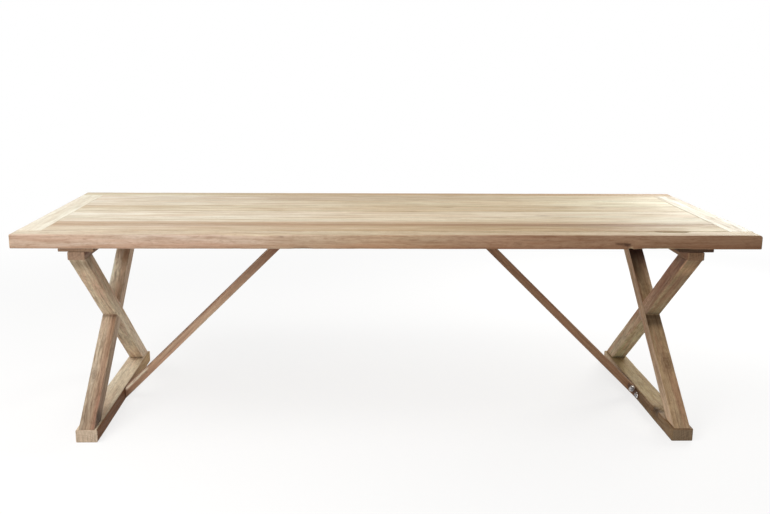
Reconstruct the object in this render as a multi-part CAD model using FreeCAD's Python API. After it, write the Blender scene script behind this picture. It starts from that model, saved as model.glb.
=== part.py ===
import FreeCAD, Part
import math
import os

Vector = FreeCAD.Vector

# Whole table, in millimetres: +X along the length, -Y to the front, Z up from the floor
table_length = 2600.0
table_width = 1000.0
table_height = 775.0
cut_overrun = 5.0
parallel_tolerance = 1e-6

# Table top: border boards run the whole length, end boards and planks lie between them
top_thickness = 50.0
border_width = 78.0
end_board_width = 88.0
plank_count = 6
corner_radius = 8.0
top_arris_radius = 5.0
under_arris_ease = 2.5
seam_ease = 1.0

# Grooves and tongues half-way through the thickness of the top
groove_width = 12.0
groove_depth = 15.0
groove_stop = 20.0
tongue_shoulder = 14.0
tongue_side_gap = 0.2
tongue_end_gap = 0.8

# Battens and head rails under the top
trestle_inset = 213.5
rail_setback = 40.0
batten_width = 124.0
batten_thickness = 19.0
batten_ease = 1.5
brace_batten_setback = 150.0
head_rail_width = 60.0
head_rail_height = 30.0

# Foot rails on the floor
foot_rail_width = 79.0
foot_rail_height = 48.0
foot_rail_setback = 35.0
rail_ease = 2.0

# Crossed legs: half-lapped in the middle, tenoned into both rails
leg_width = 60.0
leg_thickness = 59.0
leg_head_setback = 8.0
leg_toe_setback = 2.0
leg_ease = 2.0
lap_gap = 0.2
tenon_thickness = 18.0
tenon_shoulder = 20.0
head_tenon_depth = 18.0
foot_tenon_depth = 28.0
mortise_side_gap = 0.2
mortise_end_gap = 0.8

# Diagonal braces: from the foot rail's inner side up to a batten under the top
brace_width = 32.0
brace_thickness = 40.0
brace_angle = 44.4
brace_floor_gap = 2.0
brace_ease = 1.5

# Angle brackets: one leaf rakes along the brace, the other lies square on the rail or batten
bracket_width = 26.0
bracket_thickness = 3.0
brace_leaf_reach = 32.0
brace_leaf_hole = 17.0
rail_leaf_reach = 44.0
rail_leaf_hole = 30.0
leaf_corner_clip = 5.0

# Coach screws, measured across the flats of the head
screw_gap = 0.2
batten_screw_offset = 46.0
batten_screw_flats = 10.0
batten_screw_head = 4.0
batten_screw_radius = 3.0
batten_screw_length = 44.0
rail_screw_flats = 13.0
rail_screw_head = 5.5
rail_screw_radius = 4.0
rail_screw_length = 74.0
bracket_screw_flats = 13.0
bracket_screw_head = 5.5
bracket_screw_radius = 4.0
bracket_screw_length = 38.0

# Levels, from the floor up
foot_top = foot_rail_height
top_underside = table_height - top_thickness
batten_underside = top_underside - batten_thickness
head_underside = batten_underside - head_rail_height
groove_middle = table_height - top_thickness / 2

# Places across the top
border_seam = table_width / 2 - border_width
end_seam = table_length / 2 - end_board_width
plank_width = 2 * border_seam / plank_count
plank_seams = [-border_seam + i * plank_width for i in range(plank_count + 1)]
plank_middles = [seam + plank_width / 2 for seam in plank_seams[:-1]]
tongue_thickness = groove_width - 2 * tongue_side_gap
tongue_reach = groove_depth - tongue_end_gap

# The legs' slope follows from where their outer edges meet the two rails
trestle_x = table_length / 2 - trestle_inset
head_rail_half = table_width / 2 - rail_setback
foot_rail_half = table_width / 2 - foot_rail_setback
head_reach = head_rail_half - leg_head_setback
foot_reach = foot_rail_half - leg_toe_setback
leg_rise = head_underside - foot_top
leg_run = head_reach + foot_reach
leg_slope = math.atan2(leg_rise, leg_run) + math.asin(leg_width / math.hypot(leg_rise, leg_run))
leg_cut = leg_width / math.sin(leg_slope)

# The brace starts at the foot rail's inner side and ends under its own batten
brace_slope = math.radians(brace_angle)
brace_foot_x = trestle_x - foot_rail_width / 2
brace_head_low_x = brace_foot_x - (batten_underside - brace_floor_gap) / math.tan(brace_slope)
brace_head_high_x = brace_head_low_x + brace_width / math.sin(brace_slope)
brace_batten_x = (brace_head_low_x + brace_head_high_x) / 2
brace_batten_half = table_width / 2 - brace_batten_setback


def box_between(low, high):
    size = high - low
    return Part.makeBox(size.x, size.y, size.z, low)


def prism(points, sweep):
    return Part.Face(Part.makePolygon(points + points[:1])).extrude(sweep)


def edges_along(shape, direction):
    return [
        edge
        for edge in shape.Edges
        if edge.tangentAt(edge.FirstParameter).cross(direction).Length < parallel_tolerance
    ]


# Table top

def top_slab():
    half = Vector(table_length / 2, table_width / 2, 0)
    slab = box_between(Vector(0, 0, top_underside) - half, Vector(0, 0, table_height) + half)
    slab = slab.makeFillet(corner_radius, edges_along(slab, Vector(0, 0, 1)))
    upper = [edge for edge in slab.Edges if edge.BoundBox.ZMin > groove_middle]
    slab = slab.makeFillet(top_arris_radius, upper)
    lower = [edge for edge in slab.Edges if edge.BoundBox.ZMax < groove_middle]
    return slab.makeChamfer(under_arris_ease, lower)


def seam_vee(start, end):
    # Shallow V along a seam: each of its two boards has that arris eased
    along = end - start
    across = along.cross(Vector(0, 0, 1)).normalize() * (seam_ease + cut_overrun)
    bottom = start - Vector(0, 0, seam_ease)
    rise = Vector(0, 0, seam_ease + cut_overrun)
    return prism([bottom, bottom + rise + across, bottom + rise - across], along)


def seam_vees():
    half_length = table_length / 2 + cut_overrun
    vees = []
    for y in plank_seams:
        half = half_length if y in (plank_seams[0], plank_seams[-1]) else end_seam
        vees.append(seam_vee(Vector(-half, y, table_height), Vector(half, y, table_height)))
    for x in (-end_seam, end_seam):
        vees.append(seam_vee(Vector(x, -border_seam, table_height), Vector(x, border_seam, table_height)))
    return vees


def groove_band(low_x, high_x, low_y, high_y, thickness):
    # Box centred on the grooves' level: a groove to cut or a tongue to add
    rise = Vector(0, 0, thickness / 2)
    low = Vector(low_x, low_y, groove_middle) - rise
    return box_between(low, Vector(high_x, high_y, groove_middle) + rise)


def top_cell(slab, vees, low_x, high_x, low_y, high_y):
    low = Vector(low_x, low_y, top_underside - cut_overrun)
    cell = box_between(low, Vector(high_x, high_y, table_height + cut_overrun))
    return slab.common(cell).cut(vees)


def border_board(slab, vees):
    # Back border board; its groove stops short of both ends
    outside = table_width / 2 + cut_overrun
    half = table_length / 2 + cut_overrun
    board = top_cell(slab, vees, -half, half, border_seam, outside)
    run = table_length / 2 - groove_stop
    low_y = border_seam - cut_overrun
    return board.cut(groove_band(-run, run, low_y, border_seam + groove_depth, groove_width))


def end_board(slab, vees):
    # Right end board: a groove for the planks, and a tongue at each end for the border boards
    outside = table_length / 2 + cut_overrun
    board = top_cell(slab, vees, end_seam, outside, -border_seam, border_seam)
    half = border_seam + cut_overrun
    low_x = end_seam - cut_overrun
    board = board.cut(groove_band(low_x, end_seam + groove_depth, -half, half, groove_width))
    inner = end_seam + groove_depth + tongue_shoulder
    outer = table_length / 2 - groove_stop - tongue_shoulder
    reach = border_seam + tongue_reach
    tongues = [
        groove_band(inner, outer, -reach, -border_seam, tongue_thickness),
        groove_band(inner, outer, border_seam, reach, tongue_thickness),
    ]
    return board.fuse(tongues).removeSplitter()


def plank(slab, vees, low_y):
    high_y = low_y + plank_width
    board = top_cell(slab, vees, -end_seam, end_seam, low_y, high_y)
    half = end_seam + cut_overrun
    grooves = [
        groove_band(-half, half, low_y - cut_overrun, low_y + groove_depth, groove_width),
        groove_band(-half, half, high_y - groove_depth, high_y + cut_overrun, groove_width),
    ]
    reach = end_seam + tongue_reach
    sides = (low_y + tongue_shoulder, high_y - tongue_shoulder)
    tongues = [
        groove_band(-reach, -end_seam, *sides, tongue_thickness),
        groove_band(end_seam, reach, *sides, tongue_thickness),
    ]
    return board.cut(grooves).fuse(tongues).removeSplitter()


def loose_tongue(seam_y):
    half = end_seam - tongue_end_gap
    return groove_band(-half, half, seam_y - tongue_reach, seam_y + tongue_reach, tongue_thickness)


def top_pieces():
    slab = top_slab()
    vees = seam_vees()
    border = border_board(slab, vees)
    end = end_board(slab, vees)
    pieces = {
        "front_border_board": half_turn(border),
        "back_border_board": border,
        "left_end_board": half_turn(end),
        "right_end_board": end,
    }
    for i, seam_y in enumerate(plank_seams):
        if i < plank_count:
            pieces[plank_name(i)] = plank(slab, vees, seam_y)
        pieces[f"loose_tongue_{i + 1}"] = loose_tongue(seam_y)
    return pieces


def plank_name(index):
    return f"plank_{index + 1}"


# Right trestle; the left one is the same assembly turned half round

def half_turn(shape):
    turned = shape.copy()
    turned.rotate(Vector(0, 0, 0), Vector(0, 0, 1), 180)
    return turned


def rail(middle_x, width, half_length, low_z, high_z, ease):
    low = Vector(middle_x - width / 2, -half_length, low_z)
    stock = box_between(low, Vector(middle_x + width / 2, half_length, high_z))
    return stock.makeChamfer(ease, stock.Edges)


def leg_band(side, from_x, thickness, widen):
    # Side 1 has its foot at the back and its head at the front, side -1 the other way
    extra = widen / math.sin(leg_slope)
    corners = [
        (-head_reach - extra, head_underside),
        (leg_cut - head_reach + extra, head_underside),
        (foot_reach + extra, foot_top),
        (foot_reach - leg_cut - extra, foot_top),
    ]
    points = [Vector(from_x, side * y, z) for y, z in corners]
    return prism(points, Vector(thickness, 0, 0))


def leg_tenon(side, at_head, side_gap, end_gap):
    # Upright tenon inside the sloping stock, or with gaps the mortise that takes it
    depth = head_tenon_depth if at_head else foot_tenon_depth
    reach = head_reach if at_head else foot_reach
    inner = reach - leg_cut + depth / math.tan(leg_slope) - side_gap
    outer = reach - tenon_shoulder + side_gap
    way = -side if at_head else side
    low_y, high_y = sorted((way * inner, way * outer))
    low_z = head_underside if at_head else foot_top - depth - end_gap
    high_z = head_underside + depth + end_gap if at_head else foot_top
    half = tenon_thickness / 2 + side_gap
    return box_between(Vector(trestle_x - half, low_y, low_z), Vector(trestle_x + half, high_y, high_z))


def leg(side):
    # The leg with its foot at the front keeps the inner half of the lap, the other the outer half
    stock = leg_band(side, trestle_x - leg_thickness / 2, leg_thickness, 0)
    direction = Vector(0, side * math.cos(leg_slope), -math.sin(leg_slope))
    stock = stock.makeChamfer(leg_ease, edges_along(stock, direction))
    depth = leg_thickness / 2 + cut_overrun
    lap_start = trestle_x if side < 0 else trestle_x - depth
    lapped = stock.cut(leg_band(-side, lap_start, depth, lap_gap))
    tenons = [leg_tenon(side, at_head, 0, 0) for at_head in (True, False)]
    return lapped.fuse(tenons).removeSplitter()


def head_rail():
    stock = rail(trestle_x, head_rail_width, head_rail_half, head_underside, batten_underside, rail_ease)
    return stock.cut([leg_tenon(side, True, mortise_side_gap, mortise_end_gap) for side in (1, -1)])


def foot_rail():
    stock = rail(trestle_x, foot_rail_width, foot_rail_half, 0, foot_top, rail_ease)
    return stock.cut([leg_tenon(side, False, mortise_side_gap, mortise_end_gap) for side in (1, -1)])


def batten(middle_x, half_length):
    return rail(middle_x, batten_width, half_length, batten_underside, top_underside, batten_ease)


def brace():
    # Plumb cut against the foot rail, level cut under the batten
    foot_rise = brace_width / math.cos(brace_slope)
    corners = [
        (brace_foot_x, brace_floor_gap),
        (brace_foot_x, brace_floor_gap + foot_rise),
        (brace_head_high_x, batten_underside),
        (brace_head_low_x, batten_underside),
    ]
    points = [Vector(x, -brace_thickness / 2, z) for x, z in corners]
    stock = prism(points, Vector(0, brace_thickness, 0))
    direction = Vector(math.cos(brace_slope), 0, -math.sin(brace_slope))
    return stock.makeChamfer(brace_ease, edges_along(stock, direction))


# Angle brackets: u runs along the brace's leaf, v along the rail's leaf, w along the fold

def foot_bracket_frame():
    low_z = (foot_rail_height - bracket_width) / 2
    origin = Vector(brace_foot_x, -brace_thickness / 2, low_z)
    return origin, Vector(-1, 0, 0), Vector(0, -1, 0), Vector(0, 0, 1), math.tan(brace_slope)


def head_bracket_frame():
    origin = Vector(brace_batten_x - bracket_width / 2, brace_thickness / 2, batten_underside)
    return origin, Vector(0, 0, -1), Vector(0, 1, 0), Vector(1, 0, 0), 1 / math.tan(brace_slope)


def bracket_leaf(origin, reach, fold, thickness):
    # Flat leaf from the fold out to its reach, with the two far corners clipped
    far = origin + reach
    back = reach * (leaf_corner_clip / reach.Length)
    inward = fold * (leaf_corner_clip / fold.Length)
    points = [origin, origin + fold, far + fold - back, far + fold - inward, far + inward, far - back]
    return prism(points, thickness)


def bracket(frame):
    origin, u, v, w, rake = frame
    fold = w * bracket_width
    brace_leaf = bracket_leaf(origin, (u + w * rake) * brace_leaf_reach, fold, v * bracket_thickness)
    rail_leaf = bracket_leaf(origin, v * rail_leaf_reach, fold, u * bracket_thickness)
    return brace_leaf.fuse(rail_leaf).removeSplitter()


def bracket_screw_seats(frame):
    # Seat and direction of the screw into the brace, then of the one into the rail or batten
    origin, u, v, w, rake = frame
    middle = origin + w * bracket_width / 2
    on_brace = middle + (u + w * rake) * brace_leaf_hole + v * bracket_thickness
    on_rail = middle + v * rail_leaf_hole + u * bracket_thickness
    return (on_brace, -v), (on_rail, -u)


def trestle_pieces():
    return {
        "batten": batten(trestle_x, head_rail_half),
        "head_rail": head_rail(),
        "foot_rail": foot_rail(),
        "front_leg": leg(-1),
        "back_leg": leg(1),
        "brace": brace(),
        "brace_batten": batten(brace_batten_x, brace_batten_half),
        "foot_bracket": bracket(foot_bracket_frame()),
        "head_bracket": bracket(head_bracket_frame()),
    }


# Coach screws: a hexagon head on its seat, and a plain shank into the wood

screw_sizes = {
    "batten_screws": (batten_screw_flats, batten_screw_head, batten_screw_radius, batten_screw_length),
    "head_rail_screws": (rail_screw_flats, rail_screw_head, rail_screw_radius, rail_screw_length),
    "bracket_screws": (bracket_screw_flats, bracket_screw_head, bracket_screw_radius, bracket_screw_length),
}


def set_in(shape, seat, direction):
    shape.Placement = FreeCAD.Placement(seat, FreeCAD.Rotation(Vector(0, 0, 1), direction))
    return shape


def coach_screw(kind):
    flats, head_height, radius, length = screw_sizes[kind]
    corner = flats / math.sqrt(3)
    turns = [math.radians(60 * i) for i in range(6)]
    points = [Vector(corner * math.cos(turn), corner * math.sin(turn), 0) for turn in turns]
    head = prism(points, Vector(0, 0, -head_height))
    return head.fuse(Part.makeCylinder(radius, length))


def screw_hole(kind):
    radius, length = screw_sizes[kind][2:]
    start = Vector(0, 0, -cut_overrun)
    return Part.makeCylinder(radius + screw_gap, length + cut_overrun + screw_gap, start)


def plank_at(y):
    return plank_name(int((y - plank_seams[0]) // plank_width))


def screw_seats():
    # For each kind of screw on the right half: seat, direction and the pieces that it passes through.
    # The outer planks are held by the batten, the next ones by the head rail, the rest by the brace's batten
    up = Vector(0, 0, 1)
    seats = {kind: [] for kind in screw_sizes}
    for i, y in enumerate(plank_middles):
        offset = batten_screw_offset if i % 2 else -batten_screw_offset
        planks_in = min(i, plank_count - 1 - i)
        if planks_in == 0:
            seat = Vector(trestle_x + offset, y, batten_underside)
            seats["batten_screws"].append((seat, up, ["batten"]))
        elif planks_in == 1:
            seat = Vector(trestle_x, y, head_underside)
            seats["head_rail_screws"].append((seat, up, ["head_rail", "batten"]))
        else:
            seat = Vector(brace_batten_x + offset, y, batten_underside)
            seats["batten_screws"].append((seat, up, ["brace_batten"]))
    for bracket_name, frame, rail_name in (
        ("foot_bracket", foot_bracket_frame(), "foot_rail"),
        ("head_bracket", head_bracket_frame(), "brace_batten"),
    ):
        into_brace, into_rail = bracket_screw_seats(frame)
        seats["bracket_screws"].append((*into_brace, [bracket_name, "brace"]))
        seats["bracket_screws"].append((*into_rail, [bracket_name, rail_name]))
    return seats


def fit_screws(pieces):
    # Drives every screw on both halves and bores the pieces that it passes through
    for kind, seats in screw_seats().items():
        screws = []
        for seat, direction, names in seats:
            for side, way in (("right", 1), ("left", -1)):
                place = Vector(way * seat.x, way * seat.y, seat.z)
                heading = Vector(way * direction.x, way * direction.y, direction.z)
                screws.append(set_in(coach_screw(kind), place, heading))
                bored = [f"{side}_{name}" for name in names]
                if heading.z > 0:
                    bored.append(plank_at(place.y))
                for name in bored:
                    pieces[name] = pieces[name].cut(set_in(screw_hole(kind), place, heading))
        pieces[kind] = Part.makeCompound(screws)


def build():
    pieces = top_pieces()
    turned_names = {"front_leg": "back_leg", "back_leg": "front_leg"}
    for name, shape in trestle_pieces().items():
        pieces["right_" + name] = shape
        pieces["left_" + turned_names.get(name, name)] = half_turn(shape)
    fit_screws(pieces)
    return pieces


os.makedirs("parts", exist_ok=True)
for node, shape in build().items():
    print(node, "valid" if shape.isValid() else "not valid", len(shape.Solids), round(shape.Volume))
    shape.exportStep(f"parts/{node}.step")
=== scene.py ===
import math
from collections import namedtuple

import bmesh
import bpy
import numpy as np
from mathutils import Matrix, Vector


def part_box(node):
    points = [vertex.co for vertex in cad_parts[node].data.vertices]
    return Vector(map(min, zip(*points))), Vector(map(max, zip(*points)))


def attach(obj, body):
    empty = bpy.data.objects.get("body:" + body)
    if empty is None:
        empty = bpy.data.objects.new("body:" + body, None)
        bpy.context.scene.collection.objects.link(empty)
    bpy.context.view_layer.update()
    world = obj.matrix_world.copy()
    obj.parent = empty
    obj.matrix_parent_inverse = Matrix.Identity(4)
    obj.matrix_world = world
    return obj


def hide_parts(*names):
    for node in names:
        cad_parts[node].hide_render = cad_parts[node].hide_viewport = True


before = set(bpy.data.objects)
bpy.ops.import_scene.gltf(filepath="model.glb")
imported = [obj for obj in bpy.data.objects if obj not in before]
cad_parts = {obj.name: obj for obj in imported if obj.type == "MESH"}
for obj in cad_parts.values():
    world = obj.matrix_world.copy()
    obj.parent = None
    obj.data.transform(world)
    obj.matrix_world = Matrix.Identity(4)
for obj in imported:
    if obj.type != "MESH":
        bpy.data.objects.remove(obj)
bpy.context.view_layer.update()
print("frame loaded with", len(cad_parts), "nodes")


# Helpers for node trees

socketKinds = {float: "Float", int: "Int", tuple: "Vector"}
outputKinds = {"Grain": "Vector", "Geometry": "Geometry"}  # all others are floats
midGrey = (0.5, 0.5, 0.5)
white = (1.0, 1.0, 1.0, 1.0)
making = {}  # holds the node tree that is being built


def feed(socket, value):
    if isinstance(value, bpy.types.NodeSocket):
        making["tree"].links.new(value, socket)
    else:
        socket.default_value = value


def addNode(kind, inputs=None, **settings):
    made = making["tree"].nodes.new(kind)
    for name, value in settings.items():
        setattr(made, name, value)
    for key, value in (inputs or {}).items():
        feed(made.inputs[key], value)
    return made.outputs


def newGroup(name, kind, inputs, *outputs):
    # An input is given by its default, or by its kind where it has none
    tree = making["tree"] = bpy.data.node_groups.new(name, kind)
    for label, default in inputs.items():
        socketKind = socketKinds.get(type(default), default)
        socket = tree.interface.new_socket(label, in_out="INPUT", socket_type="NodeSocket" + socketKind)
        if socketKind != default:
            socket.default_value = default
    for label in outputs:
        socketKind = outputKinds.get(label, "Float")
        tree.interface.new_socket(label, in_out="OUTPUT", socket_type="NodeSocket" + socketKind)
    return tree, addNode("NodeGroupInput"), tree.nodes.new("NodeGroupOutput").inputs


def useGroup(group, inputs):
    return addNode("ShaderNodeGroup", inputs, node_tree=group)


def maths(operation, *values):
    return addNode("ShaderNodeMath", dict(enumerate(values)), operation=operation)[0]


def vectors(operation, first, second=None):
    inputs = {0: first}
    if second is not None:
        inputs["Scale" if operation == "SCALE" else 1] = second
    made = addNode("ShaderNodeVectorMath", inputs, operation=operation)
    return made["Value" if operation == "LENGTH" else "Vector"]


def combine(x=0.0, y=0.0, z=0.0):
    return addNode("ShaderNodeCombineXYZ", {"X": x, "Y": y, "Z": z})[0]


def remap(value, low, high, toLow=0.0, toHigh=1.0):
    ends = {"Value": value, "From Min": low, "From Max": high, "To Min": toLow, "To Max": toHigh}
    return addNode("ShaderNodeMapRange", ends, interpolation_type="SMOOTHSTEP")[0]


def noise(vector, stretch, detail=2, roughness=0.5, distortion=0.0):
    settings = {"Vector": vectors("MULTIPLY", vector, stretch), "Scale": 1.0, "Detail": detail}
    return addNode("ShaderNodeTexNoise", {**settings, "Roughness": roughness, "Distortion": distortion})


def feedMasks(outside, masks):
    # Each mask is a noise with its stretch, detail, roughness and distortion, cut between two levels
    greys = {}
    for name, (source, stretch, detail, roughness, distortion, low, high) in masks.items():
        greys[name] = noise(source, stretch, detail, roughness, distortion)[0]
        feed(outside[name], remap(greys[name], low, high))
    return greys


def mixColour(factor, first, second, blend="MIX"):
    return addNode("ShaderNodeMix", {0: factor, 6: first, 7: second}, data_type="RGBA", blend_type=blend)[2]


def attribute(name, output="Fac"):
    return addNode("ShaderNodeAttribute", attribute_name=name)[output]


def addBump(shader, strength, distance, height):
    bump = addNode("ShaderNodeBump", {"Strength": strength, "Distance": distance, "Height": height})
    feed(shader.inputs["Normal"], bump[0])


def screenColour(red, green, blue):
    # From the 0 to 255 values of a picture to Blender's linear colour
    parts = [value / 255 for value in (red, green, blue)]
    return tuple(p / 12.92 if p <= 0.04045 else ((p + 0.055) / 1.055) ** 2.4 for p in parts) + (1.0,)


def newMaterial(name):
    material = bpy.data.materials.new(name)
    material.use_nodes = True
    making["tree"] = material.node_tree
    return material, material.node_tree.nodes["Principled BSDF"]


# Shader groups

def buildFigureGroup():
    # Grain runs along X, and the tree's pith is the line Y = Z = 0
    inputs = {"Grain": "Vector", "Ring Width": 0.004, "Wander": 0.02, "Heart Edge": 0.1, "Fineness": "Vector"}
    masks = ("Rings", "Bands", "Streaks", "Lines", "Flecks", "Pores", "Heart")
    tree, inside, outside = newGroup("timberFigure", "ShaderNodeTree", inputs, *masks)
    grain = inside["Grain"]
    drift = vectors("SUBTRACT", noise(grain, (0.9, 4, 4))["Color"], midGrey)
    ripple = vectors("SUBTRACT", noise(grain, (7, 16, 16))["Color"], midGrey)
    drift = vectors("ADD", drift, vectors("SCALE", ripple, 0.25))
    moved = vectors("ADD", grain, vectors("SCALE", drift, inside["Wander"]))
    radius = vectors("LENGTH", vectors("MULTIPLY", moved, (0.0, 1.0, 1.0)))

    phase = maths("DIVIDE", radius, inside["Ring Width"])
    yearly = {"W": phase, "Scale": 0.6, "Detail": 2.0}
    years = addNode("ShaderNodeTexNoise", yearly, noise_dimensions="1D")[0]
    lateWood = maths("POWER", maths("FRACT", phase), 4.0)
    rings = maths("MULTIPLY_ADD", lateWood, 0.35, remap(years, 0.3, 0.75, 0.0, 0.65))
    feed(outside["Rings"], rings)

    fine = vectors("MULTIPLY", moved, inside["Fineness"])
    greys = feedMasks(outside, {
        "Bands": (fine, (0.55, 22, 22), 3, 0.55, 0, 0.36, 0.64),
        "Streaks": (fine, (1.7, 85, 85), 3, 0.6, 0, 0.42, 0.72),
        "Flecks": (moved, (26, 150, 150), 3, 0.6, 0.8, 0.45, 0.75),
        "Pores": (grain, (85, 1500, 1500), 1, 0.5, 0, 0.6, 0.72),
    })
    lines = remap(noise(moved, (7, 340, 340), 2, 0.6)[0], 0.45, 0.75)
    hairs = remap(noise(moved, (22, 900, 900), 2, 0.6)[0], 0.48, 0.72, 0, 0.7)
    feed(outside["Lines"], maths("MAXIMUM", lines, hairs))

    # Heartwood ends in a ragged line
    ragged = maths("MULTIPLY_ADD", greys["Streaks"], 0.03, radius)
    past = maths("SUBTRACT", ragged, inside["Heart Edge"])
    feed(outside["Heart"], remap(past, 0.022, 0.006))
    return tree


def buildKnotGroup():
    # The fibres flow round the knot, and Spread says how far it runs along each axis
    inputs = {"Grain": "Vector", "Centre": "Vector", "Spread": "Vector", "Radius": 0.01}
    tree, inside, outside = newGroup("knotMark", "ShaderNodeTree", inputs, "Grain", "Swirl", "Core")
    away = vectors("SUBTRACT", inside["Grain"], inside["Centre"])
    flat = vectors("MULTIPLY", away, inside["Spread"])
    wobble = noise(away, (60, 110, 110), 2)[0]
    share = maths("DIVIDE", vectors("LENGTH", flat), inside["Radius"])
    share = maths("ADD", share, remap(wobble, 0.2, 0.8, -0.35, 0.35))
    push = maths("DIVIDE", 0.9, maths("MULTIPLY_ADD", share, share, 1.0))
    aside = vectors("SCALE", vectors("MULTIPLY", away, (0.0, 1.0, 1.0)), push)
    feed(outside["Grain"], vectors("SUBTRACT", inside["Grain"], aside))
    ripples = maths("SINE", maths("MULTIPLY", share, 9.0))
    ripples = maths("MULTIPLY_ADD", ripples, 0.25, 0.75)
    feed(outside["Swirl"], maths("MULTIPLY", remap(share, 2.2, 0.7), ripples))
    feed(outside["Core"], remap(share, 0.9, 0.4))
    return tree


def buildWearGroup():
    # Rubbed wood along the arrises, broken up by the grain
    inputs = {"Grain": "Vector", "Arris": 0.0}
    tree, inside, outside = newGroup("arrisWear", "ShaderNodeTree", inputs, "Wear")
    toneAndShadingPatches = noise(inside["Grain"], (14, 60, 60), 3, 0.65)[0]
    rubbed = maths("MULTIPLY", inside["Arris"], remap(toneAndShadingPatches, 0.3, 0.6))
    feed(outside["Wear"], maths("MINIMUM", rubbed, 1.0))
    return tree


def buildWeatherGroup():
    # Slow patches of grey and red, dirt that settles in streaks, and fine drying cracks
    inputs = {"Grain": "Vector", "Fineness": "Vector"}
    masks = ("Grey", "Red", "Stain", "Mottle", "Checks", "Saw")
    tree, inside, outside = newGroup("weathering", "ShaderNodeTree", inputs, *masks)
    grain = inside["Grain"]
    fine = vectors("MULTIPLY", grain, inside["Fineness"])
    toneAndShadingPatches = noise(fine, (0.8, 26, 26), 3, 0.6)["Color"]
    apart = addNode("ShaderNodeSeparateColor", {"Color": toneAndShadingPatches})
    for name, part in (("Grey", "Red"), ("Red", "Green")):
        feed(outside[name], remap(apart[part], 0.45, 0.66))
    feedMasks(outside, {
        "Stain": (grain, (5, 90, 90), 4, 0.7, 0.4, 0.55, 0.78),
        "Mottle": (grain, (22, 50, 50), 4, 0.65, 1.2, 0.42, 0.72),
        "Checks": (grain, (4, 300, 300), 1, 0.5, 0, 0.7, 0.75),
        "Saw": (grain, (0, 280, 30), 2, 0.65, 0, 0.42, 0.7),
    })
    return tree


def buildScuffGroup():
    # Fine scratches and dull patches on metal
    inputs = {"Place": "Vector", "Amount": 0.5}
    tree, inside, outside = newGroup("metalScuffs", "ShaderNodeTree", inputs, "Scuffs", "Dullness")
    scratches = noise(inside["Place"], (900, 120, 900), 3, 0.7, 1.5)[0]
    scuffs = maths("MULTIPLY", remap(scratches, 0.58, 0.72), inside["Amount"])
    feed(outside["Scuffs"], scuffs)
    feedMasks(outside, {"Dullness": (inside["Place"], (160, 160, 160), 3, 0.6, 0, 0.35, 0.7)})
    return tree


figureGroup = buildFigureGroup()
knotGroup = buildKnotGroup()
wearGroup = buildWearGroup()
weatherGroup = buildWeatherGroup()
scuffGroup = buildScuffGroup()
print("shader groups built")


# Wood: colours in 0 to 255, and how strongly each mask shows

woodLooks = {
    "topWood": dict(
        pale=(240, 226, 200), mid=(219, 197, 164), heart=(194, 158, 123), grey=(204, 194, 166),
        red=(214, 178, 147), dark=(156, 122, 90), dirt=(96, 72, 54), rubbed=(238, 222, 194),
        knot=(128, 92, 66), wearDepth=0.6, roughness=(0.55, 0.75), ringWidth=0.0045, wander=0.03,
        fineness=(3.0, 1.0, 1.0),
        depths=dict(
            Bands=0.8, Heart=0.8, Grey=0.35, Red=0.3, Streaks=0.4, Rings=0.22, Lines=0.35, Flecks=0.15,
            Stain=0.3, Mottle=0.12, Pores=0.3, Checks=0.3, Saw=0.3,
        ),
    ),
    "trestleWood": dict(
        pale=(198, 175, 147), mid=(180, 153, 124), heart=(156, 120, 92), grey=(174, 157, 135),
        red=(172, 128, 106), dark=(104, 78, 57), dirt=(58, 43, 31), rubbed=(196, 172, 142), knot=(92, 66, 47),
        wearDepth=0.3, roughness=(0.65, 0.85), ringWidth=0.005, wander=0.06, fineness=(4.0, 1.6, 1.6),
        depths=dict(
            Bands=0.8, Heart=0.4, Grey=0.45, Red=0.6, Streaks=0.45, Rings=0.15, Lines=0.32, Flecks=0.25,
            Stain=0.4, Mottle=0.35, Pores=0.35, Checks=0.6, Saw=0.35,
        ),
    ),
    "braceWood": dict(
        pale=(184, 147, 119), mid=(160, 120, 94), heart=(150, 106, 82), grey=(156, 132, 108),
        red=(162, 112, 90), dark=(106, 73, 55), dirt=(56, 39, 29), rubbed=(200, 168, 140), knot=(88, 58, 42),
        wearDepth=0.6, roughness=(0.62, 0.82), ringWidth=0.004, wander=0.02, fineness=(4.0, 2.4, 2.4),
        depths=dict(
            Bands=0.7, Heart=0.5, Grey=0.25, Red=0.4, Streaks=0.45, Rings=0.25, Lines=0.4, Flecks=0.2,
            Stain=0.35, Mottle=0.2, Pores=0.3, Checks=0.4, Saw=0.4,
        ),
    ),
}
woodSurface = dict(
    specular=0.2, bumpStrength=0.4, bumpDistance=0.0006, endRings=1.2, endFade=-0.75,
    relief=dict(Lines=-0.5, Rings=0.5, Pores=-0.6, Checks=-1.6),
)
woodColours = ("pale", "mid", "heart", "grey", "red", "dark", "dirt", "rubbed", "knot")
woodLayers = {
    "Bands": "mid", "Heart": "heart", "Grey": "grey", "Red": "red", "Streaks": "dark", "Rings": "dark",
    "Lines": "dark", "Flecks": "dark", "Stain": "dark", "Mottle": "dark", "Pores": "dark", "Checks": "dirt",
    "Saw": "dirt",
}


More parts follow.
